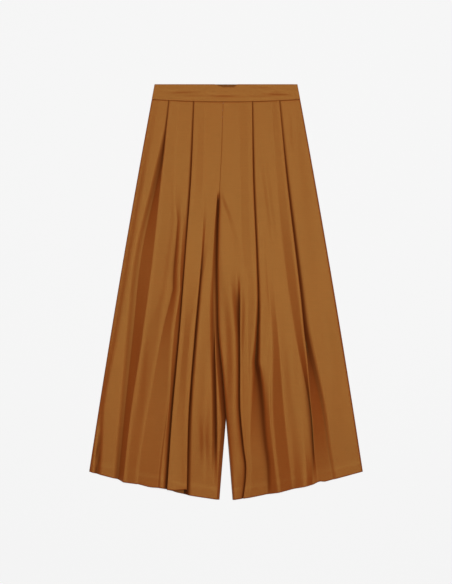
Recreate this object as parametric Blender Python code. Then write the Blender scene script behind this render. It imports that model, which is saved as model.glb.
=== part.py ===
"""Palazzo trousers laid flat, front side up, modelled as the pieces that are cut and sewn.

Metres, +Z up. The back panels rest on Z = 0 and +Y points to the waistband. The wearer's
right leg is at -X. The origin is the centre of the underside.

Every panel is a wall of cloth. A leg panel is a grid whose rows run down the leg, from the
waist seam to the hem. Each row is a section across the panel. The back panels lie flat. The
front panels stand a little off them, and at each pleat or fold the cloth drops to a valley,
from which an outer face climbs to a crest. In the pleats the crest hangs over the valley, so
that three layers of cloth lie over each other.
"""

import math
from typing import NamedTuple

import bmesh
import bpy

# Overall sizes. A drop is measured down from the top edge of the waistband.
LENGTH = 1.0586
WAIST_HALF = 0.182
SIDE_FLARE = 0.1868
SIDE_CURVE = 0.0181
BAND_AT_SIDE = 0.0383
BAND_AT_CENTRE = 0.0446
HEM_DROP = 1.0600
HEM_CORNER_RISE = 0.0727
HEM_CORNER_AT = 0.348
HEM_POWER = 1.3
CROTCH_DROP = 0.288
FORK_DROP = 0.853  # where the inner edges of the legs part

# Cloth and gaps.
CLOTH = 0.0011
BAND_CLOTH = 0.0022
GAP = 0.0003
LAYER = CLOTH + GAP
BACK_LEVEL = CLOTH / 2
FRONT_LEVEL = BACK_LEVEL + LAYER
BAND_BACK_LEVEL = BAND_CLOTH / 2
BAND_FRONT_LEVEL = BAND_BACK_LEVEL + BAND_CLOTH + GAP

# The dip in the front waistband's top edge, where the inside of the back band shows.
DIP_DEPTH = 0.0070
DIP_LEFT, DIP_LEFT_FLOOR = -0.030, -0.006
DIP_RIGHT_FLOOR, DIP_RIGHT = 0.018, 0.030

# The tables below give places and heights in millimetres, at drops 200 mm apart.
MM = 0.001
STATIONS = (40, 240, 440, 640, 840, 1040)


class Track(NamedTuple):
    """One value in millimetres at each station down the leg."""

    waist: float
    hip: float
    thigh: float
    knee: float
    calf: float
    hem: float


class Fold(NamedTuple):
    """A pleat or fold. over is +1 where the panel towards +X lies on top, or else -1."""

    over: int
    crest: Track  # X of the crest
    spread: Track  # how far the crest stands back from the valley; below 0 it hangs over it
    rise: Track  # the crest above the level of the upper panel
    sink: Track  # the valley under that level
    fall: Track  # reach over which the upper panel is down at its level again
    gape: Track  # reach over which the lower panel climbs out of the valley
    shoulder: Track  # how far the lower panel then stands above its level
    radii: tuple  # of the valley and the crest
    hem_step: float  # how much higher the upper panel ends at the hem


class Edge(NamedTuple):
    """The inner edge of a leg: X at each of the drops, and how far it goes under the other leg."""

    drops: tuple
    places: tuple
    lap_drops: tuple
    laps: tuple


FLAT = Track(0, 0, 0, 0, 0, 0)
SHOULDER_REACH = 0.026
STEP_REACH = 0.047
STEP_POWER = 6  # how fast a hem step grows down the rows

# The seam up the centre front, then the left leg's inner edge, which lies on top.
SEAM_DROPS = (40, 160, 288, 440, 560, 640, 745, 853, 960, 1060)
SEAM_PLACES = (-7.7, -11.5, -17.6, -22.5, -22.0, -19.5, -8.5, 0.2, 9.0, 17.0)
INNER_LEFT = Edge(SEAM_DROPS, SEAM_PLACES, lap_drops=(0, 1), laps=(0, 0))
# The right leg's inner edge is hidden under the other leg down to the fork.
INNER_RIGHT = Edge(
    SEAM_DROPS,
    SEAM_PLACES,
    lap_drops=(288, 340, 440, 560, 640, 745, 853, 960, 1060),
    laps=(0.0, 20.0, 32.0, 33.0, 30.5, 16.0, -0.2, -18.0, -34.0),
)

RIGHT_FOLDS = (
    Fold(  # outer pleat
        over=1,
        crest=Track(-144.1, -165.6, -184.5, -211, -242, -263),
        spread=Track(-4, 8, 25, 20, 12, 9),
        rise=Track(2.4, 5, 10, 10, 7, 6),
        sink=Track(1.2, 4.2, 4, 3, 3, 3),
        fall=Track(30, 45, 46, 46, 60, 60),
        gape=Track(9, 14, 20, 20, 16, 12),
        shoulder=FLAT,
        radii=(0.004, 0.003),
        hem_step=-0.003,
    ),
    Fold(  # soft fold beside the inner pleat
        over=1,
        crest=Track(-104, -112, -125, -139, -154, -165),
        spread=Track(14, 14, 17, 28, 36, 38),
        rise=Track(0, 0, 6, 8, 8, 7),
        sink=Track(0, 0, 1, 1, 1, 1),
        fall=Track(30, 30, 30, 30, 30, 30),
        gape=Track(14, 14, 20, 30, 30, 30),
        shoulder=FLAT,
        radii=(0.020, 0.024),
        hem_step=0,
    ),
    Fold(  # inner pleat
        over=1,
        crest=Track(-81.1, -88.8, -103.4, -118.5, -136.5, -150),
        spread=Track(-6, -5, -4, -5, -6, -7),
        rise=Track(2.6, 4, 2, 4, 6, 9),
        sink=Track(1.2, 4.2, 2.6, 3, 4, 4),
        fall=Track(40, 40, 30, 30, 26, 26),
        gape=Track(9, 9, 8, 8, 9, 10),
        shoulder=FLAT,
        radii=(0.0008, 0.0012),
        hem_step=0,
    ),
    Fold(  # deep loose fold
        over=-1,
        crest=Track(-50, -54, -62, -79.5, -91.5, -99),
        spread=Track(8, 8, 3, -4, -5, -5),
        rise=Track(0, 0, 5, 10, 10, 9),
        sink=Track(0, 0, 3.5, 5, 5, 4),
        fall=Track(26, 26, 26, 24, 24, 24),
        gape=Track(12, 12, 9, 10, 10, 9),
        shoulder=Track(0, 0, 2, 6, 6, 3),
        radii=(0.0012, 0.0020),
        hem_step=0.015,
    ),
    Fold(  # narrow fold by the inner edge
        over=1,
        crest=Track(-26, -28, -31, -25.5, -20, -22),
        spread=Track(8, 8, 8, 8, 9, 9),
        rise=Track(0, 0, 0, 0, 2.2, 0),
        sink=Track(0, 0, 0, 0, 5, 0),
        fall=Track(14, 14, 14, 14, 14, 14),
        gape=Track(9, 9, 9, 9, 9, 9),
        shoulder=Track(0, 0, 0, 0, 2, 0),
        radii=(0.003, 0.004),
        hem_step=0,
    ),
)
LEFT_FOLDS = (
    Fold(  # deep loose fold
        over=1,
        crest=Track(30, 34, 36.5, 37, 37.5, 47),
        spread=Track(4, 4, 4, 1, 4, 10),
        rise=Track(0, 0, 0.6, 6, 6, 3),
        sink=Track(0, 0, 1, 5, 5, 3),
        fall=Track(20, 20, 20, 20, 20, 20),
        gape=Track(24, 24, 24, 11, 14, 30),
        shoulder=Track(0, 0, 0, 5, 4, 0),
        radii=(0.001, 0.002),
        hem_step=0,
    ),
    Fold(  # inner pleat
        over=-1,
        crest=Track(66.5, 69.8, 78.2, 82.5, 72, 92),
        spread=Track(-6, -6, -5, 1, 24, 18),
        rise=Track(2.4, 3, 4, 7, 9, 6),
        sink=Track(1.2, 4.2, 4, 5, 5, 4),
        fall=Track(40, 40, 36, 30, 26, 40),
        gape=Track(9, 9, 9, 10, 9, 9),
        shoulder=Track(0, 0, 1, 5, 2, 0),
        radii=(0.002, 0.014),
        hem_step=0,
    ),
    Fold(  # soft fold of the middle panel
        over=-1,
        crest=Track(82, 90, 102, 121, 123, 131),
        spread=Track(10, 10, 12, 15, 26, 33),
        rise=Track(0, 0, 0, 2, 7, 8),
        sink=Track(0, 0, 0, 0.5, 1, 1),
        fall=Track(26, 26, 26, 26, 26, 26),
        gape=Track(20, 20, 20, 20, 30, 30),
        shoulder=FLAT,
        radii=(0.014, 0.022),
        hem_step=0,
    ),
    Fold(  # hem fold beside the outer pleat
        over=-1,
        crest=Track(104, 116, 132, 150, 172, 199),
        spread=Track(10, 10, 12, 14, 20, 24),
        rise=Track(0, 0, 0, 0, 2, 9),
        sink=FLAT,
        fall=Track(30, 30, 30, 30, 30, 30),
        gape=Track(9, 9, 9, 9, 9, 9),
        shoulder=FLAT,
        radii=(0.005, 0.024),
        hem_step=0,
    ),
    Fold(  # outer pleat
        over=-1,
        crest=Track(135.7, 155, 176.8, 197, 218, 240),
        spread=Track(-4, 3, 9, 20, 34, 32),
        rise=Track(2.4, 4, 8, 9, 9, 5),
        sink=Track(1.2, 4.2, 5, 5, 5, 4),
        fall=Track(30, 40, 40, 36, 30, 12),
        gape=Track(9, 14, 14, 10, 9, 9),
        shoulder=FLAT,
        radii=(0.010, 0.003),
        hem_step=0,
    ),
)


class HemRise(NamedTuple):
    """A stretch of hem that hangs a little short."""

    x: float
    reach: float
    rise: float


class Leg(NamedTuple):
    """What makes one leg: which way its side seam lies, its edges, folds and hem."""

    outward: int  # -1 for the wearer's right leg, +1 for the left
    inner: Edge
    folds: tuple
    rises: tuple
    side_roll: Track  # reach over which the cloth rises from the side seam


RIGHT_LEG = Leg(
    outward=-1,
    inner=INNER_RIGHT,
    folds=RIGHT_FOLDS,
    rises=(HemRise(-0.160, 0.040, 0.005),),
    side_roll=Track(24, 24, 24, 24, 24, 24),
)
LEFT_LEG = Leg(
    outward=1,
    inner=INNER_LEFT,
    folds=LEFT_FOLDS,
    rises=(HemRise(0.237, 0.017, 0.004),),
    side_roll=Track(30, 55, 80, 100, 100, 100),
)

# How far the front panels stand off the back ones.
LOFT = Track(1.2, 4.2, 5, 5, 5, 4)
INNER_ROLL = 0.008
UNDER_ROLL = 0.013  # reach over which the right leg sinks to go under the left one
UNDER_MARGIN = 0.0045
PARTING = 0.02  # share of the rows over which the inner edges begin to roll down

# Grid cells. A fold takes two arcs with a straight face between them.
ROWS_TO_CROTCH = 5
ROWS_TO_HEM = 14
ARC_PIECES = 3
FACE_PIECES = 2
PANEL_PIECES = (8, 6, 4, 5, 5, 8)
CROWDING = 0.6  # how much closer the cells of a panel lie at its two ends
GENTLE = math.pi / 4  # slope of a face below which its cells are no longer crowded in its arcs
LEAST_HEIGHT = 1e-6
FIT = 0.98
BACK_PIECES = 8
BAND_PIECES = 40
BAND_ROWS = 3

# The left leg lies on the right leg between crotch and fork.
OVERLAP_LIFT = 2 * LAYER + GAP
LIFT_MARGIN = 0.003
LIFT_FALL = 0.024
LIFT_FALL_PIECES = 4
LIFT_ENDS = 0.960

CLOTH_COLOUR = (0.305, 0.102, 0.021, 1.0)
BACK_COLOUR = (0.245, 0.080, 0.017, 1.0)
CLOTH_ROUGHNESS = 0.62


def ease(share):
    """0 to 1 with soft ends."""
    share = min(max(share, 0.0), 1.0)
    return share * share * (3 - 2 * share)


def bump(offset):
    """1 at the middle, falling softly to 0 at -1 and 1."""
    return (1 + math.cos(math.pi * offset)) / 2 if abs(offset) < 1 else 0.0


def through(places, values, at):
    """Value at a place, on a smooth curve through the values given at the places."""
    at = min(max(at, places[0]), places[-1])
    last = len(places) - 1
    i = max(k for k in range(last) if places[k] <= at)

    def slope(k):
        before, after = max(k - 1, 0), min(k + 1, last)
        return (values[after] - values[before]) / (places[after] - places[before])

    span = places[i + 1] - places[i]
    s = (at - places[i]) / span
    return (
        (2 * s**3 - 3 * s**2 + 1) * values[i]
        + (s**3 - 2 * s**2 + s) * span * slope(i)
        + (3 * s**2 - 2 * s**3) * values[i + 1]
        + (s**3 - s**2) * span * slope(i + 1)
    )


def size_at(track, drop):
    """The track's value at a drop, both in metres."""
    return through(STATIONS, track, drop / MM) * MM


def inner_x(edge, drop):
    """X of a leg's inner edge at a drop."""
    place = through(edge.drops, edge.places, drop / MM)
    return (place + through(edge.lap_drops, edge.laps, drop / MM)) * MM


def side_x(drop):
    """Half the width of the trousers at a drop."""
    return WAIST_HALF + SIDE_FLARE * drop - SIDE_CURVE * drop**2


def seam_drop(x):
    """Drop of the waist seam, a little lower at the centre."""
    share = min(abs(x) / side_x(BAND_AT_SIDE), 1.0)
    return BAND_AT_CENTRE + (BAND_AT_SIDE - BAND_AT_CENTRE) * share**2


def hem_drop(x, rises):
    """Drop of the hem, which rises towards the side seams."""
    drop = HEM_DROP - HEM_CORNER_RISE * (abs(x) / HEM_CORNER_AT) ** HEM_POWER
    for one in rises:
        drop -= one.rise * bump((x - one.x) / one.reach)
    return drop


def row_drop(x, row, rises):
    """Drop of the row at a place across the leg; row is 0 at the waist seam and 1 at the hem."""
    top = seam_drop(x) + GAP / 2
    return top + (hem_drop(x, rises) - top) * row


def on_row(x_at_drop, row, rises):
    """(X, drop) at which a line down the leg, such as a fold's crest, crosses the row."""
    x, drop = 0.0, row * HEM_DROP
    for _ in range(6):
        x = x_at_drop(drop)
        drop = row_drop(x, row, rises)
    return x, drop


def crotch_row():
    """Share of the way to the hem at which the seam ends and the legs part."""
    return (CROTCH_DROP - BAND_AT_CENTRE) / (HEM_DROP - BAND_AT_CENTRE)


def rows():
    """The rows, with one exactly at the crotch, where the legs begin to overlap."""
    crotch = crotch_row()
    above = [crotch * k / ROWS_TO_CROTCH for k in range(ROWS_TO_CROTCH)]
    below = [crotch + (1 - crotch) * k / ROWS_TO_HEM for k in range(ROWS_TO_HEM + 1)]
    return above + below


def ends(leg, row):
    """X of a leg's inner edge, half a seam gap back from the shared seam, and of its side."""
    inner, _ = on_row(lambda d: inner_x(leg.inner, d) + leg.outward * GAP / 2, row, leg.rises)
    outer, _ = on_row(lambda d: leg.outward * side_x(d), row, leg.rises)
    return inner, outer


def spaced(x_from, x_to, pieces):
    """Places from one X to another, closer together at the two ends."""
    shares = [k / pieces for k in range(pieces + 1)]
    crowded = [s - CROWDING * math.sin(2 * math.pi * s) / (2 * math.pi) for s in shares]
    return [x_from + (x_to - x_from) * s for s in crowded]


class Face(NamedTuple):
    """A fold's outer face: a round valley and a round crest, joined by a straight stretch."""

    valley: float
    crest: float
    straight: float
    angle: float

    def length(self):
        return (self.valley + self.crest) * self.angle + self.straight

    def point(self, along):
        """(across, up) from the valley's start, at a length along the face."""
        turn = min(along / self.valley, self.angle)
        run = min(max(along - self.valley * self.angle, 0.0), self.straight)
        rest = max(along - self.valley * self.angle - self.straight, 0.0)
        back = self.angle - min(rest / self.crest, self.angle)
        across = self.valley * math.sin(turn) + run * math.cos(self.angle)
        across += self.crest * (math.sin(self.angle) - math.sin(back))
        up = self.valley * (1 - math.cos(turn)) + run * math.sin(self.angle)
        return across, up + self.crest * (math.cos(back) - math.cos(self.angle))

    def marks(self):
        """Lengths along the face at which its points lie.

        They are even on a gentle face. On a steep one, each arc has its own share of them.
        """
        first, second = self.valley * self.angle, self.crest * self.angle
        steep = [first * k / ARC_PIECES for k in range(ARC_PIECES)]
        steep += [first + self.straight * k / FACE_PIECES for k in range(FACE_PIECES)]
        steep += [first + self.straight + second * k / ARC_PIECES for k in range(ARC_PIECES + 1)]
        bent = ease(self.angle / GENTLE)
        step = self.length() / (len(steep) - 1)
        return [bent * mark + (1 - bent) * step * k for k, mark in enumerate(steep)]


def fold_face(spread, height, radii):
    """The face of a fold, its radii made smaller where they don't fit."""
    height = max(height, LEAST_HEIGHT)
    limit = height / 2 if spread < 0 else (spread**2 + height**2) / (2 * height)
    valley = min(radii[0], FIT * limit / 2)
    crest = min(radii[1], FIT * limit - valley)
    rounds = valley + crest
    span = math.hypot(spread, height - rounds)
    straight = math.sqrt(max(span**2 - rounds**2, 0.0))
    angle = math.atan2(height - rounds, spread) + math.asin(min(rounds / span, 1.0))
    return Face(valley, crest, straight, angle)


def fold_profile(spread, height, radii):
    """Points of a fold's outer face from valley to crest, (across, up), the crest's edge at 0."""
    face = fold_face(spread, height, radii)
    points = [face.point(along) for along in face.marks()]
    edge = points[-1][0] - face.crest * math.sin(min(face.angle, math.pi / 2))
    return [(across - edge, up) for across, up in points]


class Crossing(NamedTuple):
    """A fold on one row: its points in the order they are crossed towards +X, and its sizes."""

    fold: Fold
    points: list  # (X, height above the flat level, how short the hem is)
    overhang: float  # stretch of the lower panel under the crest
    plateau: float  # stretch of the upper panel that stays at the crest's height
    rise: float
    sink: float
    fall: float
    gape: float
    shoulder: float


def crossing(fold, row, rises):
    """The fold where it crosses the row."""
    x, drop = on_row(lambda d: size_at(fold.crest, d), row, rises)
    loft = size_at(LOFT, drop)
    rise = max(size_at(fold.rise, drop), 0.0)
    sink = min(max(size_at(fold.sink, drop), 0.0), loft)
    profile = fold_profile(size_at(fold.spread, drop), rise + sink, fold.radii)
    top = max(profile[-1][1], 1e-6)
    points = [
        (x + fold.over * across, loft - sink + up, fold.hem_step * up / top)
        for across, up in profile
    ]
    if fold.over < 0:
        points.reverse()
    furthest = max(across for across, _ in profile)
    return Crossing(
        fold=fold,
        points=points,
        overhang=max(profile[0][0], 0.0),
        plateau=furthest - profile[-1][0],
        rise=rise,
        sink=sink,
        fall=size_at(fold.fall, drop),
        gape=size_at(fold.gape, drop),
        shoulder=size_at(fold.shoulder, drop),
    )


def upper_side(one, offset, room):
    """How far the upper panel stands above its level, at an offset from the fold's end.

    It is down again within the room, which ends where the cloth goes under the next fold.
    """
    fall = min(one.fall, room - one.plateau)
    return one.rise * (1 - ease((offset - one.plateau) / fall))


def lower_side(one, offset, room):
    """How far the lower panel stands above its level, at an offset from the fold's end."""
    beyond = offset - one.overhang
    gape = min(one.gape, room - one.overhang)
    climbed = ease(beyond / gape)
    shoulder = one.shoulder * climbed * (1 - ease((beyond - gape) / SHOULDER_REACH))
    return shoulder - one.sink * (1 - climbed)


def panel_points(x_from, x_to, before, after, row, rises, pieces):
    """Points across one panel, between the fold before it and the fold after it."""
    room = x_to - x_from
    middle = (x_from + x_to) / 2
    loft = size_at(LOFT, row_drop(middle, row, rises))
    points = []
    for x in spaced(x_from, x_to, pieces):
        height, short, raised = loft, 0.0, 0.0
        for one, other, offset, over in (
            (before, after, x - x_from, 1),
            (after, before, x_to - x, -1),
        ):
            if one is None:
                continue
            if one.fold.over != over:
                height += lower_side(one, offset, room)
                continue
            up = upper_side(one, offset, room - (other.overhang if other else 0.0))
            height += up * (1 - raised)
            raised = up / max(one.rise, 1e-6)
            short += one.fold.hem_step * (1 - min(offset / STEP_REACH, 1.0))
        points.append((x, height, short))
    return points


def kept_share(leg, x, inner, outer, row):
    """Share of its height that the cloth keeps towards the leg's two edges."""
    at_side = ease(abs(x - outer) / size_at(leg.side_roll, row_drop(outer, row, leg.rises)))
    reach, rim = INNER_ROLL, inner
    parted = ease((row - crotch_row()) / PARTING + 1)
    if leg.outward < 0:
        left_inner, _ = ends(LEFT_LEG, row)
        if left_inner - UNDER_MARGIN < inner:
            reach, rim = UNDER_ROLL, left_inner - UNDER_MARGIN
    rolled = ease(max((x - rim) * leg.outward, 0.0) / reach)
    return at_side * (1 - (1 - rolled) * parted)


def lift_falls_from(start, row):
    """X, on a row, up to which the left leg is raised right off the surface."""
    under, _ = on_row(lambda drop: inner_x(INNER_RIGHT, drop), row, ())
    return max(under, start) + LIFT_MARGIN


def overlap_lift(x, start, row):
    """How far the left leg, whose inner edge is at start, is raised to lie on the right leg."""
    seam_rows = crotch_row() / ROWS_TO_CROTCH
    started = ease((row - crotch_row() + seam_rows) / seam_rows)
    drop = row_drop(start, row, ())
    ended = ease((LIFT_ENDS - drop) / (LIFT_ENDS - FORK_DROP))
    across = 1 - ease((x - lift_falls_from(start, row)) / LIFT_FALL)
    return OVERLAP_LIFT * started * ended * across


def lift(leg, x, start, row):
    """How far the leg is raised at a place."""
    return overlap_lift(x, start, row) if leg.outward > 0 else 0.0


def front_row(leg, row):
    """Points of the front panel on one row."""
    inner, outer = ends(leg, row)
    start, end = min(inner, outer), max(inner, outer)
    crossed = [crossing(fold, row, leg.rises) for fold in leg.folds]
    pieces = PANEL_PIECES if leg.outward < 0 else PANEL_PIECES[::-1]
    section = []
    before, x_from = None, start
    for one, count in zip(crossed, pieces):
        x_to = one.points[0][0]
        section += panel_points(x_from, x_to, before, one, row, leg.rises, count)[:-1]
        section += one.points[:-1]
        before, x_from = one, one.points[-1][0]
    section += panel_points(x_from, end, before, None, row, leg.rises, pieces[-1])
    placed = []
    for x, up, short in section:
        drop = row_drop(x, row, leg.rises) - short * row**STEP_POWER
        height = FRONT_LEVEL + up * kept_share(leg, x, inner, outer, row)
        placed.append((x, LENGTH / 2 - drop, height + lift(leg, x, inner, row)))
    return placed


def back_row(leg, row):
    """Points of the back panel on one row: flat on the surface, but where it lies on a leg."""
    inner, outer = ends(leg, row)
    columns = [inner]
    if leg.outward > 0:
        falls = lift_falls_from(inner, row)
        columns += [falls + LIFT_FALL * k / LIFT_FALL_PIECES for k in range(LIFT_FALL_PIECES + 1)]
    rest = outer - columns[-1]
    columns += [outer - rest * (1 - k / BACK_PIECES) for k in range(1, BACK_PIECES + 1)]
    placed = []
    for x in sorted(columns):
        drop = row_drop(x, row, leg.rises)
        placed.append((x, LENGTH / 2 - drop, BACK_LEVEL + lift(leg, x, inner, row)))
    return placed


def dip(x):
    """Depth of the dip in the front band's top edge."""
    if x < DIP_LEFT_FLOOR:
        return DIP_DEPTH * ease((x - DIP_LEFT) / (DIP_LEFT_FLOOR - DIP_LEFT))
    return DIP_DEPTH * ease((DIP_RIGHT - x) / (DIP_RIGHT - DIP_RIGHT_FLOOR))


def band_row(share, level, dipped):
    """Points of a waistband on one row; share is 0 at the top edge and 1 at the waist seam."""
    placed = []
    for k in range(BAND_PIECES + 1):
        across = 2 * k / BAND_PIECES - 1
        bottom = seam_drop(across * side_x(BAND_AT_SIDE)) - GAP / 2
        top = dip(across * WAIST_HALF) if dipped else 0.0
        drop = top + (bottom - top) * share
        placed.append((across * side_x(drop), LENGTH / 2 - drop, level))
    return placed


def material(name, colour):
    """Cloth, matt with a slight sheen."""
    made = bpy.data.materials.new(name)
    made.use_nodes = True
    shader = made.node_tree.nodes["Principled BSDF"]
    shader.inputs["Base Color"].default_value = colour
    shader.inputs["Roughness"].default_value = CLOTH_ROUGHNESS
    shader.inputs["Metallic"].default_value = 0.0
    shader.inputs["Sheen Weight"].default_value = 0.25
    return made


def panel(name, grid, thickness, colour):
    """A wall of cloth whose middle surface goes through a grid of points, row by row."""
    across, down = len(grid[0]) - 1, len(grid) - 1
    shape = bmesh.new()
    bmesh.ops.create_grid(shape, x_segments=across, y_segments=down, size=0.5)
    for vertex in shape.verts:
        column = round((vertex.co.x + 0.5) * across)
        row = round((0.5 - vertex.co.y) * down)
        vertex.co = grid[row][column]
    mesh = bpy.data.meshes.new(name)
    shape.to_mesh(mesh)
    shape.free()
    mesh.shade_smooth()
    mesh.materials.append(material(name + " cloth", colour))
    made = bpy.data.objects.new(name, mesh)
    bpy.context.scene.collection.objects.link(made)
    wall = made.modifiers.new("wall", "SOLIDIFY")
    wall.thickness = thickness
    wall.offset = 0.0
    wall.use_even_offset = True
    return made


def build_legs():
    """Front and back panel of both legs."""
    for side, leg in (("right", RIGHT_LEG), ("left", LEFT_LEG)):
        front = [front_row(leg, row) for row in rows()]
        panel(f"front_leg_{side}", front, CLOTH, CLOTH_COLOUR)
        back = [back_row(leg, row) for row in rows()]
        panel(f"back_leg_{side}", back, CLOTH, BACK_COLOUR)


def build_waistband():
    """Front band, with the dip in its top edge, on the back band."""
    shares = [k / BAND_ROWS for k in range(BAND_ROWS + 1)]
    back = [band_row(share, BAND_BACK_LEVEL, False) for share in shares]
    panel("waistband_back", back, BAND_CLOTH, BACK_COLOUR)
    front = [band_row(share, BAND_FRONT_LEVEL, True) for share in shares]
    panel("waistband_front", front, BAND_CLOTH, CLOTH_COLOUR)


def main():
    for old in list(bpy.data.objects):
        bpy.data.objects.remove(old)
    build_legs()
    build_waistband()


main()
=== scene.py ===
"""Palazzo trousers laid flat, front side up: the cloth that dresses the solids.

Metres, +Z up, with the surface at Z = 0 and the waistband towards +Y. Right and left are the
wearer's, so the right leg is at -X. A drop is how far down from the top edge a place is, and a
row is its share of the way from waist seam to hem. Tables of sizes are in millimetres, and each
class turns them into metres where it uses them.
"""

import logging
import math
from collections.abc import Callable
from dataclasses import dataclass, field
from enum import IntEnum

import bmesh
import bpy
import numpy as np
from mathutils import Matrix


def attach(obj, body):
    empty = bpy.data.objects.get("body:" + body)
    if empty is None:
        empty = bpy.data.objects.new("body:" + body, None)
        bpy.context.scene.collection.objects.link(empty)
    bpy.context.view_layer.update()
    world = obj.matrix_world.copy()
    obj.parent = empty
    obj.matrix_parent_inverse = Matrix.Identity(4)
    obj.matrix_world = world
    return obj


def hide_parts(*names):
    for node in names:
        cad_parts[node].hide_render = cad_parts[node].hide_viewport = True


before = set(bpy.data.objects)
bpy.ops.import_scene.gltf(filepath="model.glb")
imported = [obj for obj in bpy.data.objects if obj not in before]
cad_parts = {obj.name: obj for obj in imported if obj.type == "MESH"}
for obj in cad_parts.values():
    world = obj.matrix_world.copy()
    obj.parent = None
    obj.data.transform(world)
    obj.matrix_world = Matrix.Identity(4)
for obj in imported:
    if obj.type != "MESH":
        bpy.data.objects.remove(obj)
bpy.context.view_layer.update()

LOG = logging.getLogger("palazzo_trousers")
MM = 0.001
BODY = "root"
STATION_DROPS = (40, 240, 440, 640, 840, 1040)
# Least lengths in metres: the first stands in for a missing stretch, the second keeps a
# division clear of zero.
LEAST_LENGTH = 1e-6
TINY = 1e-9
WHITE = (1.0, 1.0, 1.0, 1.0)
# Sockets of a Mix node that blends colours, which share their names with those for numbers.
COLOUR_A, COLOUR_B, COLOUR_RESULT = 6, 7, 2
WAVE_TURNS = 20  # radians in one unit of a wave texture whose scale is 1


def ease(share: np.ndarray) -> np.ndarray:
    """Return 0 to 1 with soft ends for a share from 0 to 1.

    Args:
        share: Where on the way, clipped to 0 and 1.

    Returns:
        The eased share.
    """
    share = np.clip(share, 0.0, 1.0)
    return share * share * (3 - 2 * share)


def slope(share: np.ndarray, rounding: float = 0.22) -> np.ndarray:
    """Return 0 to 1 along a straight slope whose two ends are rounded.

    Args:
        share: Where on the way, clipped to 0 and 1.
        rounding: Share of the way that each rounded end takes.

    Returns:
        The height, as a share of the whole.
    """
    share = np.clip(share, 0.0, 1.0)
    steep = 1 / (1 - rounding)
    start = steep * share**2 / (2 * rounding)
    end = 1 - steep * (1 - share) ** 2 / (2 * rounding)
    middle = steep * (share - rounding / 2)
    return np.where(share < rounding, start, np.where(share > 1 - rounding, end, middle))


def bump(offset: np.ndarray) -> np.ndarray:
    """Return 1 at offset 0, falling softly to 0 at -1 and 1."""
    return np.where(np.abs(offset) < 1, (1 + np.cos(math.pi * np.clip(offset, -1, 1))) / 2, 0.0)


def quarter_round(share: np.ndarray) -> np.ndarray:
    """Return 0 to 1 along a quarter of a circle, steep at 0 and level at 1."""
    share = np.clip(share, 0.0, 1.0)
    return np.sqrt(1 - (1 - share) ** 2)


def smooth_through(places: tuple, values: tuple, at: np.ndarray) -> np.ndarray:
    """Follow a smooth curve through values given at places.

    Args:
        places: Rising places.
        values: One value at each place.
        at: Places to read the curve at, clipped to the range of places.

    Returns:
        The curve's values.
    """
    where = np.asarray(places, dtype=float)
    value = np.asarray(values, dtype=float)
    last = len(where) - 1
    before = np.maximum(np.arange(last + 1) - 1, 0)
    after = np.minimum(np.arange(last + 1) + 1, last)
    slope = (value[after] - value[before]) / (where[after] - where[before])
    at = np.clip(at, where[0], where[-1])
    i = np.clip(np.searchsorted(where, at, side="right") - 1, 0, last - 1)
    span = where[i + 1] - where[i]
    s = (at - where[i]) / span
    return (
        (2 * s**3 - 3 * s**2 + 1) * value[i]
        + (s**3 - 2 * s**2 + s) * span * slope[i]
        + (3 * s**2 - 2 * s**3) * value[i + 1]
        + (s**3 - s**2) * span * slope[i + 1]
    )


@dataclass(frozen=True)
class Skyline:
    """How far the cloth around a point hides the light from it, which the material paints as shade.

    Cloth nearer than the nearest distance is the point's own, and cloth past the reach hides
    nothing. The point counts as closed at the closed share of its sky and below, and as open
    once its share is larger by the opening span.
    """

    reach: float = 0.045
    nearest: float = 0.0006
    closed_share: float = 0.32
    opening_span: float = 0.45

    def painted_shade_openness(self, x: np.ndarray, z: np.ndarray, over: tuple = ()) -> np.ndarray:
        """Work out how open to the light each point of a section lies, for the painted shade.

        Args:
            x: Places across.
            z: Heights.
            over: Places and heights of other cloth that stands beside this one, if any.

        Returns:
            0 for a closed point to 1 for an open one. A plain slope counts as open.
        """
        other_x, other_z = over if over else (x[:0], z[:0])
        run = np.concatenate((x, other_x))[None, :] - x[:, None]
        rise = np.concatenate((z, other_z))[None, :] - z[:, None]
        far = np.hypot(run, rise) + TINY
        hides = (np.abs(run) < self.reach) & (far > self.nearest)
        sine = np.where(hides, rise / far, 0.0)
        left = np.where(run < 0, sine, 0.0).max(axis=1).clip(0, 1)
        right = np.where(run > 0, sine, 0.0).max(axis=1).clip(0, 1)
        return ease((1 - (left + right) / 2 - self.closed_share) / self.opening_span)


SKYLINE = Skyline()


@dataclass(frozen=True)
class Track:
    """A size in millimetres that changes down the leg, at six stations 200 mm apart."""

    waist: float
    hip: float
    thigh: float
    knee: float
    calf: float
    hem: float

    def at(self, drop: np.ndarray) -> np.ndarray:
        """Return the size in metres at a drop in metres."""
        values = (self.waist, self.hip, self.thigh, self.knee, self.calf, self.hem)
        return smooth_through(STATION_DROPS, values, np.asarray(drop) / MM) * MM


def steady(size: float) -> Track:
    """Return a size that stays the same all the way down."""
    return Track(size, size, size, size, size, size)


@dataclass(frozen=True)
class Line:
    """A line down the leg: its X at each of the drops, in millimetres."""

    drops: tuple
    places: tuple

    def at(self, drop: np.ndarray) -> np.ndarray:
        """Return the X in metres at a drop in metres."""
        return smooth_through(self.drops, self.places, np.asarray(drop) / MM) * MM


@dataclass(frozen=True)
class Edge:
    """The inner edge of a leg: its X at each of the drops, in millimetres.

    A leg that lies under the other one reaches past the other's edge by its underlap.
    """

    drops: tuple
    places: tuple
    lap_drops: tuple = (0, 1)
    underlap: tuple = (0, 0)

    def at(self, drop: np.ndarray) -> np.ndarray:
        """Find the edge.

        Args:
            drop: Drops in metres.

        Returns:
            The X at each drop, in metres.
        """
        place = smooth_through(self.drops, self.places, np.asarray(drop) / MM)
        lap = smooth_through(self.lap_drops, self.underlap, np.asarray(drop) / MM)
        return (place + lap) * MM


class Over(IntEnum):
    """Which of the two panels that meet at a fold lies on top: the one towards -X or +X."""

    MINUS_X = -1
    PLUS_X = 1


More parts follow.
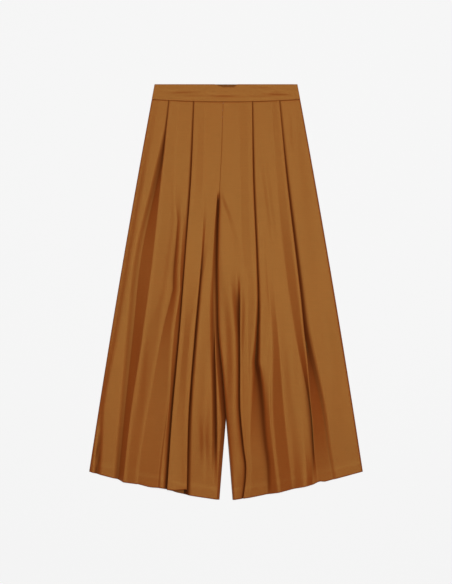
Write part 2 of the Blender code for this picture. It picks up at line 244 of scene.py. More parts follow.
class Side(IntEnum):
    """The wearer's side, as the direction in which its side seam lies."""

    RIGHT = -1
    LEFT = 1


@dataclass(frozen=True)
class Fold:
    """A pleat or loose fold. Its outer face climbs from a valley to a crest.

    spread is how far the crest stands back from the valley. Where it is less than nothing the
    cloth goes under itself. The crest rises above the level of the panel and the valley sinks
    under it. From the crest the upper panel falls back to its level, and from the valley the
    lower panel climbs over its gape, to a shoulder above its level. At the hem, the upper panel
    ends higher than the lower one by hem_step.
    """

    name: str
    over: Over
    crest: Track | Line
    spread: Track
    rise: Track
    sink: Track
    fall: Track = steady(30)
    gape: Track = steady(8)
    crest_radius: float = 4.0
    valley_radius: float = 1.2
    shoulder: Track = steady(0)
    shoulder_far: float = 30.0
    hem_step: float = 0.0
    hem_step_far: float = 46.0


@dataclass(frozen=True)
class Crease:
    """A short soft trough from one place to another; a negative depth makes a ridge."""

    start: tuple
    end: tuple
    half_width: float
    depth: float

    def raise_at(self, x: np.ndarray, drop: np.ndarray) -> np.ndarray:
        """Work out how far the crease raises the cloth.

        Args:
            x: Places across, in metres.
            drop: Drops of the same points, in metres.

        Returns:
            Heights in metres, less than nothing in a trough.
        """
        x0, drop0 = self.start[0] * MM, self.start[1] * MM
        run_x, run_drop = self.end[0] * MM - x0, self.end[1] * MM - drop0
        length = math.hypot(run_x, run_drop)
        along = ((x - x0) * run_x + (drop - drop0) * run_drop) / length**2
        aside = ((x - x0) * run_drop - (drop - drop0) * run_x) / length
        return -self.depth * MM * bump(2 * along - 1) * bump(aside / (self.half_width * MM))


@dataclass(frozen=True)
class HemRise:
    """A stretch of hem that hangs a little short."""

    x: float
    reach: float
    rise: float


@dataclass(frozen=True)
class Outline:
    """The flat outline that all the panels share, in metres."""

    length: float = 1.0586
    waist_half: float = 0.182
    side_flare: float = 0.1868
    side_curve: float = 0.0181
    band_at_side: float = 0.0383
    band_at_centre: float = 0.0446
    hem_bottom: float = 1.0600
    hem_corner_rise: float = 0.0727
    hem_corner_at: float = 0.348
    hem_power: float = 1.3
    crotch: float = 0.288
    fork: float = 0.853
    gap: float = 0.00004
    crossing_rounds: int = 6

    def side_x(self, drop: np.ndarray) -> np.ndarray:
        """Return half the width of the trousers at a drop."""
        return self.waist_half + self.side_flare * drop - self.side_curve * drop**2

    def seam_drop(self, x: np.ndarray) -> np.ndarray:
        """Return the drop of the waist seam, a little lower at the centre."""
        share = np.minimum(np.abs(x) / self.side_x(self.band_at_side), 1.0)
        return self.band_at_centre + (self.band_at_side - self.band_at_centre) * share**2

    def hem_drop(self, x: np.ndarray, rises: tuple) -> np.ndarray:
        """Find the hem, which rises towards the side seams.

        Args:
            x: Places across.
            rises: The stretches of hem that hang a little short.

        Returns:
            The drop of the hem at each place.
        """
        corner = (np.abs(x) / self.hem_corner_at) ** self.hem_power
        drop = self.hem_bottom - self.hem_corner_rise * corner
        for one in rises:
            drop = drop - one.rise * MM * bump((x / MM - one.x) / one.reach)
        return drop

    def row_drop(self, x: np.ndarray, row: float, rises: tuple) -> np.ndarray:
        """Return the drop of a row, which is 0 at the waist seam and 1 at the hem."""
        top = self.seam_drop(x) + self.gap / 2
        return top + (self.hem_drop(x, rises) - top) * row

    def on_row(self, x_at_drop: Callable, row: float, rises: tuple) -> tuple:
        """Find where a line down the leg crosses a row.

        Args:
            x_at_drop: Function that gives the line's X at a drop.
            row: The row's share of the way from waist seam to hem.
            rises: The hem's rises.

        Returns:
            The X and the drop of the crossing.
        """
        x, drop = 0.0, row * self.hem_bottom
        for _ in range(self.crossing_rounds):
            x = float(x_at_drop(drop))
            drop = float(self.row_drop(x, row, rises))
        return x, drop

    def crotch_row(self) -> float:
        """Return the row at which the seam ends and the legs part."""
        return (self.crotch - self.band_at_centre) / (self.hem_bottom - self.band_at_centre)


@dataclass(frozen=True)
class LegCut:
    """What makes one leg: its side, inner edge, folds, creases and hem."""

    side: Side
    inner: Edge
    folds: tuple
    creases: tuple
    rises: tuple
    puff: Track
    side_gape: Track
    side_roll: float
    inner_gape: Track = steady(8)


OUTLINE = Outline()
SEAM_DROPS = (40, 160, 288, 440, 560, 640, 745, 853, 960, 1060)
SEAM_PLACES = (-7.7, -11.5, -17.6, -22.5, -22.0, -19.5, -8.5, 0.2, 9.0, 17.0)

RIGHT_LEG = LegCut(
    side=Side.RIGHT,
    inner=Edge(
        drops=SEAM_DROPS,
        places=SEAM_PLACES,
        lap_drops=(288, 340, 440, 560, 640, 745, 853, 960, 1060),
        underlap=(0.0, 20.0, 32.0, 33.0, 30.5, 16.0, -0.2, -18.0, -34.0),
    ),
    folds=(
        Fold(
            name="outer pleat",
            over=Over.PLUS_X,
            crest=Track(-144.1, -165.6, -186, -212.5, -243, -265.5),
            spread=Track(-4, 12, 32, 27, 18, 15),
            rise=Track(2.4, 5, 7.5, 7.5, 7, 6),
            sink=Track(1.2, 4.2, 5, 5, 4, 4),
            fall=Track(30, 45, 46, 46, 60, 60),
            gape=Track(9, 14, 20, 20, 16, 12),
            crest_radius=3,
            valley_radius=4,
            hem_step=-3,
        ),
        Fold(
            name="soft fold beside the inner pleat",
            over=Over.PLUS_X,
            crest=Line(
                drops=(40, 240, 400, 474, 550, 627, 703, 780, 856, 933, 997, 1060),
                places=(-104, -114, -124, -130, -133, -142, -147, -150, -157, -167, -174, -178),
            ),
            spread=Track(14, 14, 16, 29, 50, 54),
            rise=Track(0, 0, 5, 6.5, 7.5, 7.5),
            sink=Track(0, 0, 2, 2, 2.5, 2.5),
            gape=Track(14, 14, 20, 40, 40, 40),
            crest_radius=24,
            valley_radius=5,
        ),
        Fold(
            name="inner pleat",
            over=Over.PLUS_X,
            crest=Track(-81.1, -88.8, -103.4, -118.5, -136.5, -150),
            spread=Track(-6, -5, -4, -5, -6, -9),
            rise=Track(2.6, 4, 2.4, 4, 7, 12),
            sink=Track(1.2, 4.2, 2, 4, 5, 4),
            fall=Track(40, 40, 45, 45, 45, 45),
            gape=Track(9, 9, 8, 5, 6, 9),
            crest_radius=1.2,
            valley_radius=0.8,
            shoulder=Track(0, 0, 0, 0, 2, 7),
            shoulder_far=20,
        ),
        Fold(
            name="deep loose fold",
            over=Over.MINUS_X,
            crest=Track(-50, -54, -62, -79.5, -94.5, -99),
            spread=Track(8, 8, 5, -6, -6, -5),
            rise=Track(0, 0, 2.5, 9, 10, 9),
            sink=Track(0, 0, 2, 5, 5, 4),
            fall=steady(45),
            gape=Track(12, 12, 12, 10, 10, 10),
            crest_radius=2.0,
            valley_radius=1.0,
            shoulder=Track(0, 0, 0, 5, 6, 3),
            shoulder_far=40,
            hem_step=15,
            hem_step_far=48,
        ),
        Fold(
            name="narrow fold by the inner edge",
            over=Over.PLUS_X,
            crest=Track(-14, -18, -24, -28, -24, -22),
            spread=Track(8, 8, 8, 6, 6, 9),
            rise=Track(0, 0, 0, 0.5, 2.5, 0),
            sink=Track(0, 0, 0, 4, 5, 0),
            fall=steady(14),
            gape=steady(9),
            crest_radius=3,
            valley_radius=3,
            shoulder=Track(0, 0, 0, 0, 2, 0),
            shoulder_far=20,
        ),
    ),
    creases=(
        Crease((-58, 820), (-52, 1010), 13, 2.8),
        Crease((-316, 790), (-337, 1110), 10, 7.0),
        Crease((-205, 560), (-228, 900), 18, -1.2),
    ),
    rises=(HemRise(-160, 40, 5),),
    puff=Track(1.2, 4.2, 5, 5, 5, 4),
    side_gape=Track(24, 24, 24, 24, 16, 12),
    side_roll=5,
    inner_gape=Track(3, 3, 11, 14, 12, 8),
)

LEFT_LEG = LegCut(
    side=Side.LEFT,
    inner=Edge(drops=SEAM_DROPS, places=SEAM_PLACES),
    folds=(
        Fold(
            name="deep loose fold",
            over=Over.PLUS_X,
            crest=Line(
                drops=(40, 240, 440, 627, 703, 818, 856, 895, 933, 971, 1009, 1060),
                places=(30, 34, 36.5, 35.3, 35.6, 35.8, 38.3, 42.1, 46.2, 51, 49.7, 43),
            ),
            spread=Track(10, 10, 10, 2, -2, 2),
            rise=Track(0, 0, 0, 6, 6, 3),
            sink=Track(0, 0, 0, 5, 5, 4),
            gape=Track(24, 24, 26, 15, 16, 34),
            crest_radius=2.0,
            valley_radius=1.0,
            shoulder=Track(0, 0, 0, 6, 5, 4),
            shoulder_far=24,
            fall=steady(20),
        ),
        Fold(
            name="inner pleat",
            over=Over.MINUS_X,
            crest=Line(
                drops=(40, 240, 440, 550, 627, 703, 780, 818, 856, 895, 933, 971, 1009, 1060),
                places=(66.5, 69.8, 78.2, 81.5, 79, 75.6, 69.4, 67, 64.7, 63.5, 64.4, 66.6, 65.2, 60.5),
            ),
            spread=Track(-6, -6, -5, 8, 29, 44),
            rise=Track(2.4, 3, 4, 7, 4.5, 4),
            sink=Track(1.2, 4.2, 4, 5, 5, 4),
            fall=Track(40, 40, 36, 30, 26, 40),
            gape=Track(8, 8, 9, 8, 12, 12),
            crest_radius=14,
            valley_radius=1.2,
            shoulder=Track(0, 0, 1, 5, 2, 0),
            shoulder_far=26,
        ),
        Fold(
            name="soft fold of the middle panel",
            over=Over.MINUS_X,
            crest=Track(82, 90, 102, 120.5, 121.5, 141.5),
            spread=Track(10, 10, 12, 19, 35, 36),
            rise=Track(0, 0, 0, 4, 10, 10),
            sink=Track(0, 0, 0, 1, 2, 2),
            fall=steady(26),
            gape=Track(20, 20, 20, 20, 30, 30),
            crest_radius=18,
            valley_radius=8,
        ),
        Fold(
            name="hem fold beside the outer pleat",
            over=Over.MINUS_X,
            crest=Track(104, 116, 132, 160, 192, 212),
            spread=Track(10, 10, 12, 14, 24, 19),
            rise=Track(0, 0, 0, 0, 1.5, 8),
            sink=steady(0),
            gape=steady(9),
            crest_radius=20,
            valley_radius=2,
        ),
        Fold(
            name="outer pleat",
            over=Over.MINUS_X,
            crest=Line(
                drops=(40, 240, 440, 550, 627, 703, 780, 856, 933, 971, 1009, 1060),
                places=(135.7, 155, 178.5, 191.3, 198.6, 207.1, 212.9, 220, 225.4, 230.3, 235.4, 242),
            ),
            spread=Track(-4, 0, 2, 6, 30, 38),
            rise=Track(2.4, 4, 8, 8, 9, 1),
            sink=Track(1.2, 4.2, 5, 5, 5, 4),
            fall=Track(30, 40, 40, 36, 30, 12),
            gape=Track(9, 12, 12, 15, 8, 8),
            crest_radius=2,
            valley_radius=4,
        ),
    ),
    creases=(
        Crease((84, 90), (134, 500), 12, 1.6),
        Crease((168, 50), (173, 190), 9, 1.4),
        Crease((160, 560), (172, 900), 20, -1.2),
        Crease((245, 420), (290, 940), 26, -1.0),
    ),
    rises=(HemRise(237, 17, 4),),
    puff=Track(1.2, 4.2, 5, 5, 5, 4),
    side_gape=Track(30, 55, 80, 100, 100, 100),
    side_roll=2,
    inner_gape=Track(8, 10, 18, 12, 8, 8),
)


@dataclass(frozen=True)
class Wall:
    """The levels and thicknesses of the cloth, in metres."""

    cloth: float = 0.0007
    band: float = 0.0020
    back_level: float = 0.00036
    front_level: float = 0.00195
    edge_level: float = 0.00112
    edge_roll: float = 0.003
    seam_tuck: float = 0.0035
    seam_tuck_depth: float = 0.0007
    hem_turn: float = 0.025
    hem_step: float = 0.0035
    hem_relief: float = 0.00045


WALL = Wall()


@dataclass(frozen=True)
class Overlap:
    """How the left leg is raised where it lies on the right leg."""

    lift: float = 0.0031
    margin: float = 0.003
    fall: float = 0.010
    fall_below: float = 0.060
    widens: float = 0.32
    begins: float = 0.012
    ends: float = 0.960

    def raise_at(self, x: np.ndarray, start: float, row: float) -> np.ndarray:
        """Return how far the left leg is raised.

        Args:
            x: Places on the row.
            start: X of the left leg's inner edge on the row.
            row: The row's share of the way from waist seam to hem.

        Returns:
            The lift in metres.
        """
        started = ease((row - OUTLINE.crotch_row() + self.begins) / self.begins)
        drop = float(OUTLINE.row_drop(start, row, ()))
        ended = ease((self.ends - drop) / (self.ends - OUTLINE.fork))
        under, _ = OUTLINE.on_row(RIGHT_LEG.inner.at, row, ())
        level = max(under, start) + self.margin
        fall = self.fall + self.fall_below * ease((row - OUTLINE.crotch_row()) / self.widens)
        across = 1 - ease((x - level) / fall)
        return self.lift * started * ended * across


OVERLAP = Overlap()


@dataclass
class FoldSection:
    """How a fold's outer face is cut into points where it crosses a row."""

    arc_pieces: int = 7
    straight_pieces: int = 6
    fill: float = 0.98  # largest share of the room that the two radii take
    steep: float = math.pi / 4  # angle from which the points follow the arcs

    def profile(self, spread: float, height: float, valley: float, crest: float) -> tuple:
        """Work out the fold's section, for a top panel towards +X.

        A round valley and a round crest are joined by a straight face that touches both.

        Args:
            spread: How far the crest's end is from the valley's start.
            height: How far the crest is above the valley.
            valley: Radius of the valley.
            crest: Radius of the crest.

        Returns:
            The points' places across from the crest's edge, and their heights.
        """
        height = max(height, LEAST_LENGTH)
        limit = height / 2 if spread < 0 else (spread**2 + height**2) / (2 * height)
        valley = min(valley, self.fill * limit / 2)
        crest = min(crest, self.fill * limit - valley)
        rounds = valley + crest
        span = math.hypot(spread, height - rounds)
        straight = math.sqrt(max(span**2 - rounds**2, 0.0))
        angle = math.atan2(height - rounds, spread) + math.asin(min(rounds / span, 1.0))
        arc, line = self.arc_pieces, self.straight_pieces
        first, last = valley * angle, crest * angle
        total = first + straight + last
        marks = np.concatenate((
            np.linspace(0, first, arc + 1),
            first + np.linspace(0, straight, line + 1)[1:],
            first + straight + np.linspace(0, last, arc + 1)[1:],
        ))
        even = np.linspace(0, total, len(marks))
        bent = float(ease(angle / self.steep))
        along = even * (1 - bent) + marks * bent
        turn = np.clip(along / max(valley, TINY), 0, angle)
        x = valley * np.sin(turn)
        z = valley * (1 - np.cos(turn))
        run = np.clip(along - first, 0, straight)
        x = x + run * math.cos(angle)
        z = z + run * math.sin(angle)
        back = np.clip((along - first - straight) / max(crest, TINY), 0, angle)
        x = x + crest * (math.sin(angle) - np.sin(angle - back))
        z = z + crest * (np.cos(angle - back) - math.cos(angle))
        crest_centre = valley * math.sin(angle) + straight * math.cos(angle) + crest * math.sin(angle)
        edge = crest_centre - crest * math.sin(min(angle, math.pi / 2))
        return x - edge, z


@dataclass
class Crossing:
    """A fold where it crosses one row, with its points in order towards +X."""

    fold: Fold
    x: np.ndarray
    up: np.ndarray
    short: np.ndarray
    rise: float
    sink: float
    fall: float
    gape: float
    shoulder: float
    plateau: float  # stretch of the top panel that is already past the crest
    covered: float  # stretch of the low panel that lies under the crest
    tucked: float  # 1 where the cloth goes under itself, 0 where the face is a slope


@dataclass
class FrontPanel:
    """The front panel of one leg, with its pleats, folds, soft creases and turned-up hem."""

    cut: LegCut
    rows: int = 112
    hem_rows: int = 10
    seam_rows: int = 4
    hem_step_power: float = 6.0
    under_margin: float = 0.0012
    parting: float = 0.008
    tuck_spread: float = 0.008
    edge_calm: float = 0.012
    low_rounding: float = 0.35
    side_rounding: float = 0.45
    panel_pieces: tuple = (18, 18, 12, 14, 18, 18)
    section: FoldSection = field(default_factory=FoldSection)

    def row_shares(self) -> np.ndarray:
        """Choose the rows, closer together at the waist seam, the crotch and the hem.

        Returns:
            Each row's share of the way from waist seam to hem.
        """
        crotch = OUTLINE.crotch_row()
        down = OUTLINE.hem_bottom - OUTLINE.band_at_centre
        hem = 1 - (WALL.hem_turn + WALL.hem_step) / down
        seam = np.linspace(0, WALL.seam_tuck / down, self.seam_rows)
        upper = np.linspace(seam[-1], crotch, self.rows // 4)[1:]
        lower = np.linspace(crotch, hem, self.rows - len(upper))[1:]
        turn = np.linspace(hem, 1, self.hem_rows)[1:]
        return np.concatenate((seam, upper, lower, turn))

    def ends(self, row: float) -> tuple:
        """Find the panel's two edges on a row.

        Args:
            row: The row's share of the way from waist seam to hem.

        Returns:
            X of the edge towards -X and of the edge towards +X.
        """
        outward = int(self.cut.side)

        def inner_edge(drop: float) -> float:
            """Return X of the inner edge, half the seam's gap outward."""
            return self.cut.inner.at(drop) + outward * OUTLINE.gap / 2

        def side_seam(drop: float) -> float:
            """Return X of the side seam."""
            return outward * OUTLINE.side_x(drop)

        inner, _ = OUTLINE.on_row(inner_edge, row, self.cut.rises)
        outer, _ = OUTLINE.on_row(side_seam, row, self.cut.rises)
        return min(inner, outer), max(inner, outer)

    def crossing(self, fold: Fold, row: float) -> Crossing:
        """Work out a fold where it crosses a row.

        Args:
            fold: The fold.
            row: The row's share of the way from waist seam to hem.

        Returns:
            The fold's points and sizes on the row.
        """
        x, drop = OUTLINE.on_row(fold.crest.at, row, self.cut.rises)
        puff = float(self.cut.puff.at(drop))
        rise = max(float(fold.rise.at(drop)), 0.0)
        sink = min(float(fold.sink.at(drop)), puff)
        spread = float(fold.spread.at(drop))
        across, up = self.section.profile(
            spread, max(rise + sink, 0.0), fold.valley_radius * MM, fold.crest_radius * MM
        )
        places = x + int(fold.over) * across
        heights = puff - sink + up
        if fold.over == Over.MINUS_X:
            places, heights = places[::-1], heights[::-1]
        return Crossing(
            fold=fold,
            x=places,
            up=heights,
            short=fold.hem_step * MM * (heights - heights.min()) / max(np.ptp(heights), TINY),
            rise=rise,
            sink=sink,
            fall=float(fold.fall.at(drop)),
            gape=float(fold.gape.at(drop)),
            shoulder=float(fold.shoulder.at(drop)),
            plateau=max(float(across.max() - across[-1]), 0.0),
            covered=max(float(across[0]), 0.0),
            tucked=1 - float(ease(spread / self.tuck_spread)),
        )

    def top_side(self, offset: np.ndarray, one: Crossing, room: float) -> np.ndarray:
        """Return how far a panel that lies on top at a fold stands above its level.

        Args:
            offset: Distance of each point from the fold's end.
            one: The fold on this row.
            room: Width of the panel, up to where it goes under the next fold.

        Returns:
            Heights in metres.
        """
        fall = max(min(one.fall, room - one.plateau), LEAST_LENGTH)
        return one.rise * (1 - slope((offset - one.plateau) / fall))

    def low_side(self, offset: np.ndarray, one: Crossing, room: float) -> np.ndarray:
        """Return how far a panel that lies under at a fold stands above its level.

        Args:
            offset: Distance of each point from the fold's end.
            one: The fold on this row.
            room: Width of the panel.

        Returns:
            Heights in metres.
        """
        beyond = offset - one.covered
        gape = max(min(one.gape, room - one.covered), LEAST_LENGTH)
        share = beyond / gape
        sloping = (1 - one.tucked) * slope(share, self.low_rounding)
        climbed = one.tucked * quarter_round(share) + sloping
        far = one.fold.shoulder_far * MM
        shoulder = one.shoulder * climbed * (1 - ease((beyond - gape) / far))
        return shoulder - one.sink * (1 - climbed)

    def panel_heights(
        self, x: np.ndarray, before: Crossing | None, after: Crossing | None, row: float
    ) -> np.ndarray:
        """Work out the heights of the cloth between two folds, or between a fold and an edge.

        Args:
            x: Places across the panel.
            before: The fold towards -X, or None at the leg's edge.
            after: The fold towards +X, or None at the leg's edge.
            row: The row's share of the way from waist seam to hem.

        Returns:
            Heights above the flat level.
        """
        room = x[-1] - x[0]
        drop = float(OUTLINE.row_drop((x[0] + x[-1]) / 2, row, self.cut.rises))
        level = np.full_like(x, float(self.cut.puff.at(drop)))
        for one, other, offset, over in (
            (before, after, x - x[0], Over.PLUS_X),
            (after, before, x[-1] - x, Over.MINUS_X),
        ):
            if one is None:
                continue
            if one.fold.over == over:
                hidden = other.covered if other else 0.0
                level = level + self.top_side(offset, one, room - hidden)
            else:
                level = level + self.low_side(offset, one, room)
        return level

    def panel_short(
        self, x: np.ndarray, before: Crossing | None, after: Crossing | None
    ) -> np.ndarray:
        """Work out how much higher than the plain hem a panel ends, by the folds it lies over.

        Args:
            x: Places across the panel.
            before: The fold towards -X, or None at the leg's edge.
            after: The fold towards +X, or None at the leg's edge.

        Returns:
            How short the hem is at each place, in metres.
        """
        short = np.zeros_like(x)
        for one, offset, over in ((before, x - x[0], Over.PLUS_X), (after, x[-1] - x, Over.MINUS_X)):
            if one is not None and one.fold.over == over:
                near = 1 - np.clip(offset / (one.fold.hem_step_far * MM), 0, 1)
                short = short + one.fold.hem_step * MM * near
        return short

    def parted(self, row: float) -> float:
        """Return 0 above the crotch, where a seam joins the legs, to 1 below it."""
        return float(ease((row - OUTLINE.crotch_row()) / self.parting + 1))

    def edge_share(self, x: np.ndarray, row: float) -> np.ndarray:
        """Work out the share of its height that the cloth keeps towards the leg's two edges.

        The right leg lies flat from where it goes under the left leg's inner edge.

        Args:
            x: Places across the leg.
            row: The row's share of the way from waist seam to hem.

        Returns:
            0 at an edge to 1 where the cloth has its whole height.
        """
        outward = int(self.cut.side)
        inner, side = (x[-1], x[0]) if self.cut.side == Side.RIGHT else (x[0], x[-1])
        drop = float(OUTLINE.row_drop(inner, row, self.cut.rises))
        if self.cut.side == Side.RIGHT:
            other, _ = OUTLINE.on_row(LEFT_LEG.inner.at, row, self.cut.rises)
            inner = min(inner, other - self.under_margin)
        parted = self.parted(row)
        at_side = slope(np.abs(x - side) / self.cut.side_gape.at(drop), self.side_rounding)
        from_inner = np.maximum((x - inner) * outward, 0.0) / self.cut.inner_gape.at(drop)
        climbed = slope(from_inner) if self.cut.side == Side.RIGHT else quarter_round(from_inner)
        at_inner = 1 - (1 - climbed) * parted
        return at_side * at_inner

    def row_points(self, row: float) -> tuple:
        """Work out one row of the panel, from its edge at -X to its edge at +X.

        Args:
            row: The row's share of the way from waist seam to hem.

        Returns:
            The row's places across, heights, hem steps and lengths of cloth across.
        """
        start, end = self.ends(row)
        crossed = [self.crossing(fold, row) for fold in self.cut.folds]
        spans_from = [start] + [float(one.x[-1]) for one in crossed]
        spans_to = [float(one.x[0]) for one in crossed] + [end]
        places, heights, shorts = [], [], []
        for i, (x_from, x_to) in enumerate(zip(spans_from, spans_to)):
            share = np.linspace(0, 1, self.panel_pieces[i] + 1)
            x = x_from + (x_to - x_from) * share
            before = crossed[i - 1] if i else None
            after = crossed[i] if i < len(crossed) else None
            up = self.panel_heights(x, before, after, row)
            keep = slice(0 if i == 0 else 1, None if after is None else -1)
            places.append(x[keep])
            heights.append(up[keep])
            shorts.append(self.panel_short(x, before, after)[keep])
            if after is not None:
                places.append(after.x)
                heights.append(after.up)
                shorts.append(after.short)
        x, up, short = (np.concatenate(part) for part in (places, heights, shorts))
        up = up * self.edge_share(x, row)
        steps = np.hypot(np.diff(x), np.diff(up))
        return x, up, short, np.concatenate(([0.0], np.cumsum(steps)))

    def levels(self, x: np.ndarray, up: np.ndarray, drop: np.ndarray, row: float) -> np.ndarray:
        """Work out the middle surface's Z on a row.

        Args:
            x: Places across.
            up: How far the folds raise each point.
            drop: Drops of the same points.
            row: The row's share of the way from waist seam to hem.

        Returns:
            Heights above the surface that the trousers lie on.
        """
        start, end = x[0], x[-1]
        outer, inner = (start, end) if self.cut.side == Side.RIGHT else (end, start)
        from_side = np.abs(x - outer)
        from_edge = np.minimum(from_side, np.abs(x - inner))
        roll = np.where(from_side < np.abs(x - inner), self.cut.side_roll * MM, WALL.edge_roll)
        rolled = quarter_round(from_edge / roll)
        parted = self.parted(row)
        inner_only = np.abs(x - inner) < from_side
        rolled = np.where(inner_only, 1 - (1 - rolled) * parted, rolled)
        z = WALL.edge_level + (WALL.front_level - WALL.edge_level) * rolled
        extra = np.zeros_like(x)
        for one in self.cut.creases:
            extra = extra + one.raise_at(x, drop)
        z = np.maximum(z + up + extra * ease(from_edge / self.edge_calm), WALL.edge_level)
        from_hem = OUTLINE.hem_drop(x, self.cut.rises) - drop
        turned_up = 1 - ease((from_hem - WALL.hem_turn) / WALL.hem_step)
        z = z + WALL.hem_relief * turned_up
        from_seam = drop - OUTLINE.seam_drop(x) - OUTLINE.gap / 2
        tuck = 1 - quarter_round(from_seam / WALL.seam_tuck)
        z = z - WALL.seam_tuck_depth * tuck
        if self.cut.side == Side.LEFT:
            z = z + OVERLAP.raise_at(x, start, row)
        return z

    def section_at(self, row: float) -> tuple:
        """Work out one row with its place in the room.

        Args:
            row: The row's share of the way from waist seam to hem.

        Returns:
            The row's places across, drops, heights and cloth lengths across.
        """
        x, up, short, along = self.row_points(row)
        drop = OUTLINE.row_drop(x, row, self.cut.rises) - short * row**self.hem_step_power
        return x, drop, self.levels(x, up, drop, row), along

    def build(self, finishes: tuple, beside: "FrontPanel | None" = None) -> bpy.types.Object:
        """Build the panel.

        Args:
            finishes: The material of the upper side and that of the under side.
            beside: The front panel of the other leg, where it stands over this one; it deepens this
                panel's painted shade.

        Returns:
            The finished object.
        """
        points, lengths = [], []
        for share in self.row_shares():
            row = float(share)
            x, drop, z, along = self.section_at(row)
            over = ()
            if beside is not None and row > OUTLINE.crotch_row():
                over_x, _, over_z, _ = beside.section_at(row)
                over = (over_x, over_z)
            points.append(np.column_stack((x, OUTLINE.length / 2 - drop, z)))
            # The third column is how open each point lies, which the material turns into painted shade.
            lengths.append(np.column_stack((along, -drop, SKYLINE.painted_shade_openness(x, z, over))))
        side = self.cut.side.name.lower()
        return cloth_sheet(f"cloth_front_leg_{side}", points, lengths, WALL.cloth, finishes)


@dataclass
class BackPanel:
    """The back panel of one leg, which lies under the front one."""

    cut: LegCut
    pieces: int = 70

    def build(self, front: FrontPanel, finishes: tuple) -> bpy.types.Object:
        """Build the panel.

        Args:
            front: The front panel that lies on it, which shares its rows.
            finishes: The material of the upper side and that of the under side.

        Returns:
            The finished object.
        """
        points, lengths = [], []
        for share in front.row_shares():
            row = float(share)
            start, end = front.ends(row)
            x = np.linspace(start, end, self.pieces + 1)
            drop = OUTLINE.row_drop(x, row, self.cut.rises)
            z = np.full_like(x, WALL.back_level)
            if self.cut.side == Side.LEFT:
                z = z + OVERLAP.raise_at(x, start, row)
            points.append(np.column_stack((x, OUTLINE.length / 2 - drop, z)))
            lengths.append(np.column_stack((x - start, -drop, np.ones_like(x))))
        side = self.cut.side.name.lower()
        return cloth_sheet(f"cloth_back_leg_{side}", points, lengths, WALL.cloth, finishes)


@dataclass
class Waistband:
    """The straight band, front and back, with the dip at the front's centre."""

    pieces: int = 150
    rows: int = 22
    dip_depth: float = 0.0070
    dip_left: float = -0.030
    dip_left_floor: float = -0.006
    dip_right_floor: float = 0.018
    dip_right: float = 0.030
    back_level: float = 0.0011
    front_level: float = 0.0036
    edge_width: float = 0.0008
    edge_segments: int = 3
    edge_angle: float = math.radians(50)
    creases: tuple = (
        Crease((-168, 19), (-52, 17), 6, 0.9),
        Crease((-60, 27), (50, 28), 6, 1.0),
        Crease((85, 22), (178, 24), 6, 1.3),
        Crease((55, 4), (125, 7), 6, 0.5),
        Crease((-150, 31), (-20, 34), 5, -0.4),
        Crease((10, 36), (150, 32), 5, -0.4),
    )

    def dip(self, x: np.ndarray) -> np.ndarray:
        """Work out the dip in the front band's top edge.

        Args:
            x: Places across.

        Returns:
            The dip's depth at each place.
        """
        left = ease((x - self.dip_left) / (self.dip_left_floor - self.dip_left))
        right = ease((self.dip_right - x) / (self.dip_right - self.dip_right_floor))
        return self.dip_depth * np.minimum(left, right)

    def build(self, is_front: bool, finishes: tuple) -> bpy.types.Object:
        """Build one of the two bands.

        Args:
            is_front: Whether it is the front band.
            finishes: The material of the upper side and that of the under side.

        Returns:
            The finished object.
        """
        across = np.linspace(-1, 1, self.pieces + 1)
        seam_x = across * OUTLINE.side_x(OUTLINE.band_at_side)
        bottom = OUTLINE.seam_drop(seam_x) - OUTLINE.gap / 2
        top = self.dip(across * OUTLINE.waist_half) if is_front else np.zeros_like(across)
        points, lengths = [], []
        for share in np.linspace(0, 1, self.rows + 1):
            drop = top + (bottom - top) * share
            x = across * OUTLINE.side_x(drop)
            z = np.full_like(x, self.front_level if is_front else self.back_level)
            for crease in self.creases if is_front else ():
                z = z + crease.raise_at(x, drop)
            points.append(np.column_stack((x, OUTLINE.length / 2 - drop, z)))
            lengths.append(np.column_stack((x, -drop, np.ones_like(x))))
        name = "cloth_waistband_front" if is_front else "cloth_waistband_back"
        made = cloth_sheet(name, points, lengths, WALL.band, finishes)
        edge = made.modifiers.new("rounded edges", "BEVEL")
        edge.width = self.edge_width
        edge.segments = self.edge_segments
        edge.limit_method = "ANGLE"
        edge.angle_limit = self.edge_angle
        return made


def add_object(name: str, data: bpy.types.ID) -> bpy.types.Object:
    """Add an object to the scene.

    Args:
        name: Its name.
        data: Its mesh, light or camera.

    Returns:
        The object, at the origin.
    """
    made = bpy.data.objects.new(name, data)
    bpy.context.scene.collection.objects.link(made)
    return made


def feed(tree: bpy.types.NodeTree, node: bpy.types.Node, inputs: dict) -> None:
    """Fill in a node's inputs.

    Args:
        tree: The tree that the node is in.
        node: The node.
        inputs: For each input's name or number, its value or the socket that feeds it.
    """
    for name, value in inputs.items():
        if isinstance(value, bpy.types.NodeSocket):
            tree.links.new(value, node.inputs[name])
        else:
            node.inputs[name].default_value = value


def add_node(tree: bpy.types.NodeTree, kind: str, settings: dict, inputs: dict) -> bpy.types.Node:
    """Add a shader node.

    Args:
        tree: The tree to add it to.
        kind: Its type, without the leading ShaderNode.
        settings: Its own properties, set before its inputs.
        inputs: As feed takes them.

    Returns:
        The node.
    """
    node = tree.nodes.new("ShaderNode" + kind)
    for name, value in settings.items():
        setattr(node, name, value)
    feed(tree, node, inputs)
    return node


